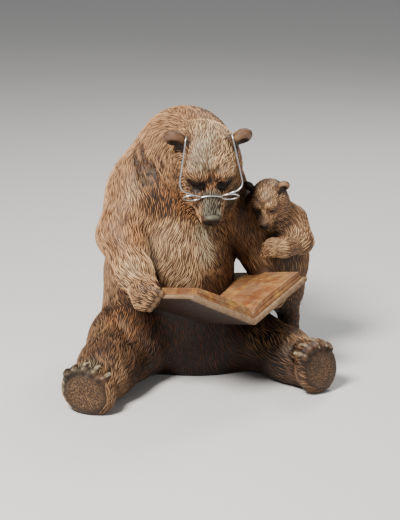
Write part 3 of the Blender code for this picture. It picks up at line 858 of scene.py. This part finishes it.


# How open to the light each part of the clay is, which sets the painted shade laid on it: the share of rays from just
# over it that meet neither the solid nor the ground nearby. Rays start this many millimetres over the clay, and at
# least this many metres over the solid.
RAYS = 28
GOLDEN_TURN = 2.39996
RAY_LENGTH = 0.075
GROUND_NEAR = 0.05
OVER_CLAY = 2.2
OVER_SOLID = 0.0008
solid_casting = BVHTree.FromObject(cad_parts["bear_casting"], bpy.context.evaluated_depsgraph_get())
SKY = []
for turn in range(RAYS):
    height = (turn + 0.5) / RAYS
    angle = turn * GOLDEN_TURN
    level = math.sqrt(1 - height**2)
    SKY.append(Vector((level * math.cos(angle), level * math.sin(angle), height)))
_, out = clay.depth(coarse_points)
openness = KDTree(len(coarse_points))
open_values = []
for index, (point, way) in enumerate(zip(to_row(coarse_points + out * OVER_CLAY), out)):
    point, way = Vector(point), Vector(way)
    near, normal, _, _ = solid_casting.find_nearest(point)
    if (point - near).dot(normal) < OVER_SOLID:
        point, way = near + normal * OVER_SOLID, normal
    turn = way.to_track_quat("Z", "Y")
    hits = 0
    for ray in SKY:
        ray = turn @ ray
        to_ground = ray.z < -0.2 and point.z < -GROUND_NEAR * ray.z
        hits += to_ground or solid_casting.ray_cast(point, ray, RAY_LENGTH)[0] is not None
    open_values.append(1 - hits / RAYS)
    openness.insert(coarse_points[index], index)
openness.balance()
open_values = np.array(open_values)


def open_at(points):
    found = np.empty(len(points))
    for row, point in enumerate(points):
        near = openness.find_n(point, 3)
        weights = [1 / (far + 0.5) for _, _, far in near]
        found[row] = sum(open_values[index] * weight for (_, index, _), weight in zip(near, weights)) / sum(weights)
    return found


def smooth(value, low, high):
    share = np.clip((value - low) / (high - low), 0, 1)
    return share * share * (3 - 2 * share)


def give_paint(data, colours):
    layer = data.color_attributes.new("paint", "FLOAT_COLOR", "POINT")
    layer.data.foreach_set("color", np.column_stack((colours, np.ones(len(colours)))).astype(np.float32).ravel())


# What the wash and the painted shade take from red, green and blue at their thickest, how much more a crease takes, how
# much light is left at the foot, and between which heights that grows to all of it
WASH_AND_SHADE = np.array((0.74, 0.8, 0.84))
CREASE_SHADE = 0.7
FOOT_LIGHT = 0.68
FOOT_HEIGHTS = (20, 110)
# How far over a point the clay is felt for, and how dark the painted shade along the ruff's folds is beside a true
# crease
FELT = 3.0
RUFF_SHADE = 0.55


def washed_and_shaded(colours, points, light, crease, strength):
    """The wash and painted shade: darker and browner the less light reaches a place and in each crease, and darker
    towards the foot, partly painted shade and partly darker paint low down.
    """
    dark = (1 - smooth(light, 0.05, 0.7) * (1 - CREASE_SHADE * crease)) * strength
    low = FOOT_LIGHT + (1 - FOOT_LIGHT) * smooth(points[:, 2], *FOOT_HEIGHTS)
    return colours * (1 - dark[:, None] * WASH_AND_SHADE) * low[:, None]


def crease_at(points, out):
    """How much the clay closes in over each point, from 0 to 1, or how much painted shade the ruff's folds are given,
    where that is more.
    """
    near = np.maximum(FELT - clay.depth(points + out * FELT)[0], 0)
    return np.maximum(smooth(near, 0.15, 1.4), RUFF_SHADE * smooth(clay.marked(points, "ruff_shade"), 0, 0.5))


skin_points = points_of(skin.data)
_, out = clay.depth(skin_points)
ground, crest = colours_at(skin_points)
light = open_at(skin_points)
crease = crease_at(skin_points, out)
bare = smooth(clay.marked(skin_points, "bare"), 0, 0.15)[:, None]
base = ground * (0.55 + 0.1 * bare) + crest * (0.03 + 0.25 * bare)
# The paints of the marks, one over the other: how deep in the mark each begins and is whole, and how well it covers
SPOT_PAINTS = (
    ("sole", "umber", 0.0, 0.2, 0.85),
    ("toe", "umber", 0.0, 0.3, 0.35),
    ("claw", "horn", 0.1, 0.5, 0.9),
    ("nail", "pitch", 0.15, 0.4, 0.9),
    # Painted shade in the ears' hollows
    ("ear", "pitch", 0.02, 0.12, 0.95),
    # The dark marks are painted shade in the eyes' sockets and under the muzzle, and darken the cub's fingertips
    ("dark", "pitch", 0.0, 0.45, 0.7),
    ("nose", "pitch", 0.0, 0.25, 0.9),
    ("eye", "pitch", 0.0, 0.2, 1.0),
    # A painted highlight along the top of the nose
    ("rim", "slate", 0.0, 0.6, 0.6),
)
for kind, colour, low, high, cover in SPOT_PAINTS:
    share = smooth(clay.marked(skin_points, kind), low, high)[:, None] * cover
    base = base * (1 - share) + linear(colour) * share
# The skin's paint, with the wash and painted shade from its openness to light and its creases laid over it
give_paint(skin.data, washed_and_shaded(base, skin_points, light, crease, 0.9))
# The soles are stippled, short of the toes
stipple = clay.marked(skin_points, "sole") - 0.6 * clay.marked(skin_points, "toe")
layer = skin.data.attributes.new("stipple", "FLOAT", "POINT")
layer.data.foreach_set("value", smooth(stipple, 0.1, 0.5).astype(np.float32))

# A piece of fur holds this many locks at the most. Each ring takes its own share of the brushed colour, and so does
# each lock: this much at the best, less by its coat's unevenness.
MOST_LOCKS = 3700
BRUSHED_ALONG = (0.0, 0.6, 0.95, 1.0, 0.95, 0.8)
BRUSHED_BEST = 1.12
furs = []
for index, (title, _, _, _, uneven) in enumerate(COATS):
    mine = np.flatnonzero(wears == index)
    parts = max(1, math.ceil(len(mine) / MOST_LOCKS))
    for part in range(parts):
        chosen = mine[part::parts]
        points = locks[chosen].reshape(-1, 3)
        ground, crest = colours_at(points)
        light = np.repeat(open_at(locks[chosen][:, 2]), RINGS)
        crease = crease_at(points, clay.depth(points)[1])
        # Each lock takes more of the brushed colour where more light reaches it, a painted highlight, and is darker in
        # deep creases, painted shade; its tone also varies at random
        missed = noise.choice((0, 0.5, 1), len(chosen), p=(0.4, 0.3, 0.3))
        each = np.repeat(BRUSHED_BEST - uneven * missed, RINGS)
        share = np.tile(BRUSHED_ALONG, len(chosen)) * each * (0.4 + 0.6 * smooth(light, 0.15, 0.8))
        share = share[:, None]
        shade = np.repeat(noise.uniform(0.85, 1.15, len(chosen)), RINGS) * (1 - 0.5 * smooth(crease, 0.6, 1.0))
        colours = washed_and_shaded(ground * (1 - share) + crest * share, points, light, crease, 0.55) * shade[:, None]
        furs.append(lay_locks(f"{title}_{part + 1}", locks[chosen], thick[chosen], colours.reshape(-1, RINGS, 3)))


class Level:
    """One value of a finish. Sums on it add their Math nodes."""

    def __init__(self, finish, socket):
        self.finish = finish
        self.socket = socket

    def sum(self, operation, first, second):
        return self.finish.node("Math", {"operation": operation}, {0: first, 1: second})

    def __add__(self, other):
        return self.sum("ADD", self, other)

    def __radd__(self, other):
        return self.sum("ADD", other, self)

    def __mul__(self, other):
        return self.sum("MULTIPLY", self, other)

    def __rmul__(self, other):
        return self.sum("MULTIPLY", other, self)


class Finish:
    """A painted or polished finish, with what is the same all over it set on its own sockets."""

    def __init__(self, name, **same):
        self.material = bpy.data.materials.new(name)
        self.material.use_nodes = True
        self.tree = self.material.node_tree
        self.shader = self.tree.nodes["Principled BSDF"]
        for socket, value in same.items():
            self.shader.inputs[socket.replace("_", " ")].default_value = value

    def put(self, socket, value):
        if isinstance(value, Level):
            self.tree.links.new(value.socket, socket)
        elif socket.type == "RGBA" and len(value) == 3:
            socket.default_value = (*value, 1)
        else:
            socket.default_value = value

    def node(self, kind, settings=None, sockets=None, out=0):
        made = self.tree.nodes.new("ShaderNode" + kind)
        for setting, value in (settings or {}).items():
            if setting == "stops":
                for stop, (place, level) in zip(made.color_ramp.elements, value):
                    stop.position = place
                    stop.color = (level, level, level, 1)
            else:
                setattr(made, setting, value)
        for socket, value in (sockets or {}).items():
            self.put(made.inputs[socket], value)
        return Level(self, made.outputs[out])

    def mix(self, share, first, second, blend="MIX"):
        return self.node("Mix", {"data_type": "RGBA", "blend_type": blend}, {0: share, 6: first, 7: second}, 2)

    def speckle(self, size, detail=2, rough=0.5, at=None):
        """Noise whose spots are about this many millimetres across, in metres of the row or of another mapping."""
        at = at or self.node("TexCoord", out=3)
        scale = 600 / size
        return self.node("TexNoise", None, {"Vector": at, "Scale": scale, "Detail": detail, "Roughness": rough})

    def ramp(self, value, low, high):
        """The value from black at low to white at high."""
        return self.node("ValToRGB", {"stops": ((low, 0), (high, 1))}, {0: value})

    def feed(self, socket, value):
        self.put(self.shader.inputs[socket], value)


def resin(name, rough, grain, stippled=False):
    """Painted polyresin: the laid paint, mottled by the brush, with a fine grain that dulls it."""
    finish = Finish(name, Specular_IOR_Level=0.28)
    laid = finish.node("Attribute", {"attribute_name": "paint"})
    patch = finish.ramp(finish.speckle(11, 5, 0.65), 0.42, 0.66)
    fine = finish.ramp(finish.speckle(1.3, 4, 0.7), 0.34, 0.66)
    colour = finish.mix(patch * 0.6, laid, finish.mix(1.0, laid, (0.5, 0.44, 0.4), "MULTIPLY"))
    colour = finish.mix(fine * 0.3, colour, finish.mix(1.0, colour, (1.32, 1.22, 1.12), "MULTIPLY"))
    if stippled:
        specks = finish.ramp(finish.speckle(0.45, 1, 0.5), 0.54, 0.62)
        share = specks * finish.node("Attribute", {"attribute_name": "stipple"}, out=2)
        colour = finish.mix(share * 0.4, colour, tuple(linear("tan")))
    finish.feed("Base Color", colour)
    finish.feed("Roughness", rough + 0.16 * fine)
    height = finish.speckle(1.1, 4, 0.65) * 0.6 + finish.speckle(0.4, 2, 0.6) * 0.4
    bump = finish.node("Bump", None, {"Strength": grain, "Distance": 0.0006, "Height": height})
    finish.feed("Normal", bump)
    return finish.material


skin_paint = resin("painted_resin", 0.46, 0.35, stippled=True)
fur_paint = resin("painted_fur", 0.42, 0.2)
for piece in [skin, *furs]:
    set_points(piece.data, to_row(points_of(piece.data)))
    piece.data.materials.append(skin_paint if piece is skin else fur_paint)
    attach(piece, "root")
    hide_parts("bear_casting")

# The book: one with the casting, but crisp. Its two boards meet at the gutter with rounded, worn edges, and each page
# block is a stack of leaves whose edges don't quite line up. The pages are bare apart from brush marks.

# The curve of the boards and the leaves: how far out from the gutter, and what share of the full height is reached
ARCH = ((0.0, 0.1), (0.06, 0.45), (0.14, 0.8), (0.26, 1.0), (0.45, 1.0), (0.7, 0.92), (1.0, 0.8))
LEAVES = 7
LEAF_SUNK = 0.4


def leaf_points(width, rise, low, high, side):
    """(x, z) points from the gutter out along one half, between two heights over the board's underside."""
    along = Vector((side * math.cos(math.radians(rise)), math.sin(math.radians(rise))))
    up = Vector((-math.sin(math.radians(rise)) * side, math.cos(math.radians(rise))))
    return [along * width * share + up * (low + (high - low) * lift) for share, lift in ARCH]


def drawn_out(outline, start, end, steps):
    """An (x, z) outline drawn out along the spine, from start to end, as a bmesh."""
    mesh = bmesh.new()
    face = mesh.faces.new([mesh.verts.new((x, start, z)) for x, z in outline])
    edges = list(face.edges)
    last = [face]
    for step in range(steps):
        swept = bmesh.ops.extrude_face_region(mesh, geom=last)
        moved = [item for item in swept["geom"] if isinstance(item, bmesh.types.BMVert)]
        bmesh.ops.translate(mesh, vec=(0, (end - start) / steps, 0), verts=moved)
        if step:
            bmesh.ops.delete(mesh, geom=last, context="FACES_ONLY")
        last = [item for item in swept["geom"] if isinstance(item, bmesh.types.BMFace)]
    bmesh.ops.recalc_face_normals(mesh, faces=mesh.faces[:])
    return mesh


def soften(mesh, width, segments=3, sharp=40):
    edges = [
        edge
        for edge in mesh.edges
        if len(edge.link_faces) == 2 and edge.calc_face_angle(0) > math.radians(sharp)
    ]
    bmesh.ops.bevel(mesh, geom=edges, affect="EDGES", offset=width, segments=segments, profile=0.5, material=-1)


def book_piece(title, meshes):
    """Parts of the book in one mesh, in its place in the casting."""
    whole = bmesh.new()
    for mesh in meshes:
        join(whole, mesh)
        mesh.free()
    place = Matrix.Translation((BOOK_AT + MIDDLE) / 1000) @ BOOK_TURN.to_4x4() @ Matrix.Scale(0.001, 4)
    bmesh.ops.transform(whole, matrix=place, verts=whole.verts[:])
    return new_piece(title, whole)


below, above = {}, {}
for side, rise in BOOK_RISES.items():
    under = leaf_points(BOOK_WIDTH, rise, 0, 0, side)
    over = leaf_points(BOOK_WIDTH, rise, BOOK_COVER, BOOK_COVER, side)
    nose = (under[-1] + over[-1]) / 2 + (under[-1] - under[0]).normalized() * BOOK_COVER / 2
    below[side] = under[1:] + [nose]
    above[side] = over[:0:-1]
outline = [Vector((0, 0))] + below[1] + above[1] + [Vector((0, BOOK_COVER * 1.15))]
outline += above[-1][::-1] + below[-1][::-1]
board = drawn_out(outline, 0, BOOK_LENGTH, 14)
soften(board, 1.5, 3)
local = np.array([vert.co for vert in board.verts])
over = np.minimum(*(on_board(local, side)[1] for side in BOOK_RISES))
# The boards' undersides are painted darker behind their front edge: darker paint and painted shade under the book
under = (smooth(-over, -1.3, -0.4) * smooth(local[:, 1], 0.5, 4))[:, None]
cover = book_piece("book_cover", [board])
give_paint(cover.data, (linear("fawn") * 0.6 + linear("slate") * 0.4) * (1 - under) + linear("walnut") * 0.6 * under)
leaves = []
for side, rise in BOOK_RISES.items():
    for leaf in range(LEAVES):
        width = BOOK_WIDTH - BOOK_MARGIN - noise.uniform(0, 1.0)
        bottom = BOOK_COVER - LEAF_SUNK
        deep = BOOK_PAGES + LEAF_SUNK
        low = leaf_points(width, rise, bottom, bottom + deep * leaf / LEAVES, side)
        high = leaf_points(width, rise, bottom + deep * 0.02, bottom + deep * (leaf + 0.96) / LEAVES, side)
        start = BOOK_MARGIN + noise.uniform(0, 0.9)
        sheet = drawn_out(low + high[::-1], start, BOOK_LENGTH - BOOK_MARGIN - noise.uniform(0, 0.9), 6)
        soften(sheet, 0.3, 2, 50)
        leaves.append(sheet)
pages = book_piece("book_pages", leaves)


# What is brushed over the pages: the paint, the size of its strokes, and how well it covers
PAGE_BRUSHES = (("ochre", 13, 0.7), ("slate", 15, 0.4), ("rust", 17, 0.7), ("fawn", 10, 0.5))


def book_finish(name, page):
    """The paint of the pages or of the cover, drawn out in streaks along the leaves and across the boards."""
    finish = Finish(name, Specular_IOR_Level=0.28)
    at = finish.node("TexCoord", out=3)
    turn = tuple(BOOK_TURN.to_euler())
    along = finish.node("Mapping", {"vector_type": "TEXTURE"}, {0: at, 2: turn, 3: (0.6, 5, 1)})
    streak = finish.ramp(finish.speckle(4, 4, 0.6, along), 0.38, 0.62)
    patch = finish.ramp(finish.speckle(16, 3, 0.6), 0.4, 0.64)
    fine = finish.ramp(finish.speckle(1.2, 4, 0.7), 0.32, 0.68)
    if page:
        colour = finish.mix(patch * 0.7, tuple(linear("leaf")), tuple(linear("fawn")))
        for brushed, size, share in PAGE_BRUSHES:
            shift = finish.node("Mapping", None, {0: at, 1: (size, size, size)})
            brush = finish.ramp(finish.speckle(size, 5, 0.7, shift), 0.48, 0.6)
            colour = finish.mix(brush * share, colour, tuple(linear(brushed)))
    else:
        colour = finish.node("Attribute", {"attribute_name": "paint"})
        colour = finish.mix(patch * 0.35, colour, finish.mix(1.0, colour, (0.6, 0.5, 0.42), "MULTIPLY"))
    colour = finish.mix(streak * 0.5 + 0.3, finish.mix(1.0, colour, (0.5, 0.4, 0.34), "MULTIPLY"), colour)
    colour = finish.mix(fine * 0.3, colour, finish.mix(1.0, colour, (1.4, 1.3, 1.15), "MULTIPLY"))
    finish.feed("Base Color", colour)
    finish.feed("Roughness", 0.5 + 0.15 * fine)
    bump = finish.node("Bump", None, {"Strength": 0.4, "Distance": 0.0008, "Height": streak * 0.6 + fine * 0.4})
    finish.feed("Normal", bump)
    return finish.material


for piece, finish in ((cover, book_finish("painted_cover", False)), (pages, book_finish("painted_pages", True))):
    piece.data.materials.append(finish)
    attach(piece, "root")
    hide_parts("bear_casting")

# The spectacles: one length of round craft wire, bent into two flat loops, a bridge and an arm to each ear. They rest
# on the muzzle and aren't glued.

WIRE = 0.0016
RIM_WIDTH = 0.017
RIM_HEIGHT = 0.010
BRIDGE = 0.0205
ARM_SPREAD = 0.064
CLEARANCE = 0.0004
RIMS_FORWARD = 0.047
CORNER_BACK = 0.005
EAR_END = (0.022, -0.004, 0.036)
REACH = 0.08
rest = WIRE / 2 + CLEARANCE


def by_head(x, y, z):
    """A point of the row from its place by the bear's head: to its left, forward and up, in metres."""
    return Vector((np.array(HEAD_AT) + MIDDLE) / 1000) + turned(*HEAD_TURN) @ Vector((x, y, z))


def lowest(x, y, z):
    """How low the spectacles come before this point of theirs rests on the casting."""
    height = REACH
    while height > -REACH:
        gap = solid_casting.find_nearest(by_head(x, y, height))[3] - rest
        if gap <= 1e-6:
            break
        height -= max(gap, 1e-5)
    return height - z


def clear(point):
    """The point moved off the casting, where it lies in it or too near."""
    for _ in range(8):
        near, normal, _, far = solid_casting.find_nearest(point)
        if far >= rest and (point - near).dot(normal) > 0:
            break
        point = near + normal * (rest + CLEARANCE / 4)
    return point


def bent(points, radius, steps=12):
    """The path with each corner bent to a radius."""
    path = [Vector(points[0])]
    for before, corner, after in zip(points, points[1:], points[2:]):
        back = (Vector(before) - Vector(corner)).normalized()
        on = (Vector(after) - Vector(corner)).normalized()
        for step in range(steps + 1):
            share = step / steps
            path.append(Vector(corner) + back * radius * (1 - share) ** 2 + on * radius * share**2)
    return path + [Vector(points[-1])]


def bend_wire(points, closed=False):
    return tubes("wire", [points], [np.full(len(points), WIRE / 2)], 4, 1e-6, closed)


def bridge_points(count):
    """The bridge, which arches over the muzzle from one rim to the other."""
    span = BRIDGE / 2 + WIRE / 4
    shares = [2 * step / (count - 1) - 1 for step in range(count)]
    return [(span * share, RIMS_FORWARD, RIM_HEIGHT / 4 * (1 - share**2)) for share in shares]


def rim_points(side, count):
    middle = side * (BRIDGE + RIM_WIDTH) / 2
    turns = [math.tau * step / count for step in range(count)]
    return [(middle + RIM_WIDTH / 2 * math.cos(a), RIMS_FORWARD, RIM_HEIGHT / 2 * math.sin(a)) for a in turns]


top = max(lowest(*point) for point in bridge_points(6) + rim_points(-1, 20) + rim_points(1, 20))
wires = [bend_wire([by_head(x, y, z + top) for x, y, z in bridge_points(21)])]
for side in (-1, 1):
    wires.append(bend_wire([by_head(x, y, z + top) for x, y, z in rim_points(side, 48)], closed=True))
    start = by_head(side * (BRIDGE / 2 + RIM_WIDTH / 4), RIMS_FORWARD, top + RIM_HEIGHT * 0.43)
    corner = by_head(side * ARM_SPREAD / 2, RIMS_FORWARD - CORNER_BACK, top + RIM_HEIGHT * 0.7)
    near, normal, _, _ = solid_casting.find_nearest(by_head(side * EAR_END[0], *EAR_END[1:]))
    path = bent([start, corner, near + normal * rest * 1.5], ARM_SPREAD / 7)
    legs = [path[-2].lerp(path[-1], step / 8) for step in range(1, 9)]
    wires.append(bend_wire([clear(point) for point in path[:-1] + legs]))
whole = bmesh.new()
for wire in wires:
    join(whole, wire)
    wire.free()
spectacles = new_piece("spectacles_wire", whole)
steel = Finish("craft_wire", Base_Color=(0.62, 0.62, 0.62, 1), Metallic=1.0)
steel.feed("Roughness", 0.22 + 0.2 * steel.speckle(2.5, 3))
steel.feed("Normal", steel.node("Bump", None, {"Strength": 0.2, "Distance": 0.0003, "Height": steel.speckle(1.5, 2)}))
spectacles.data.materials.append(steel.material)
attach(spectacles, "root")
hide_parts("spectacles")

# The stage: a pale floor to stand on, a large soft light high on the left, and weaker ones to fill the rest

floor_mesh = bmesh.new()
bmesh.ops.create_grid(floor_mesh, x_segments=1, y_segments=1, size=6)
floor = new_piece("floor", floor_mesh)
pale = Finish("pale_floor", Base_Color=(0.72, 0.71, 0.69, 1), Roughness=0.7)
floor.data.materials.append(pale.material)


def softbox(name, place, aim, size, power, colour=(1, 1, 1)):
    lamp = bpy.data.lights.new(name, "AREA")
    lamp.shape = "DISK"
    lamp.size = size
    lamp.energy = power
    lamp.color = colour
    obj = bpy.data.objects.new(name, lamp)
    obj.location = place
    obj.rotation_euler = (Vector(aim) - Vector(place)).to_track_quat("-Z", "Y").to_euler()
    bpy.context.scene.collection.objects.link(obj)


AIM = (-0.002, -0.013, 0.12)
softbox("key", (-0.6, -0.8, 1.35), AIM, 0.5, 52, (1, 0.965, 0.92))
softbox("fill", (1.1, -1.1, 0.6), AIM, 0.9, 3.5, (0.97, 0.98, 1))
softbox("rim", (0.5, 0.9, 1.2), AIM, 0.6, 10)
world = bpy.data.worlds.new("room")
world.use_nodes = True
world.node_tree.nodes["Background"].inputs["Color"].default_value = (0.85, 0.87, 0.9, 1)
world.node_tree.nodes["Background"].inputs["Strength"].default_value = 0.28
bpy.context.scene.world = world

# The photograph's height takes in this much at the figurine
TARGET = Vector((-0.00247, -0.01276, 0.125))
UP = math.radians(17)
AWAY = 1.35
PHOTO_HEIGHT = 0.52
SENSOR = 24
camera_data = bpy.data.cameras.new("camera")
camera_data.sensor_fit = "VERTICAL"
camera_data.sensor_height = SENSOR
camera_data.lens = SENSOR * AWAY / PHOTO_HEIGHT
camera = bpy.data.objects.new("camera", camera_data)
camera.location = TARGET + Vector((0, -math.cos(UP), math.sin(UP))) * AWAY
camera.rotation_euler = (math.radians(90) - UP, 0, 0)
bpy.context.scene.collection.objects.link(camera)
bpy.context.scene.camera = camera
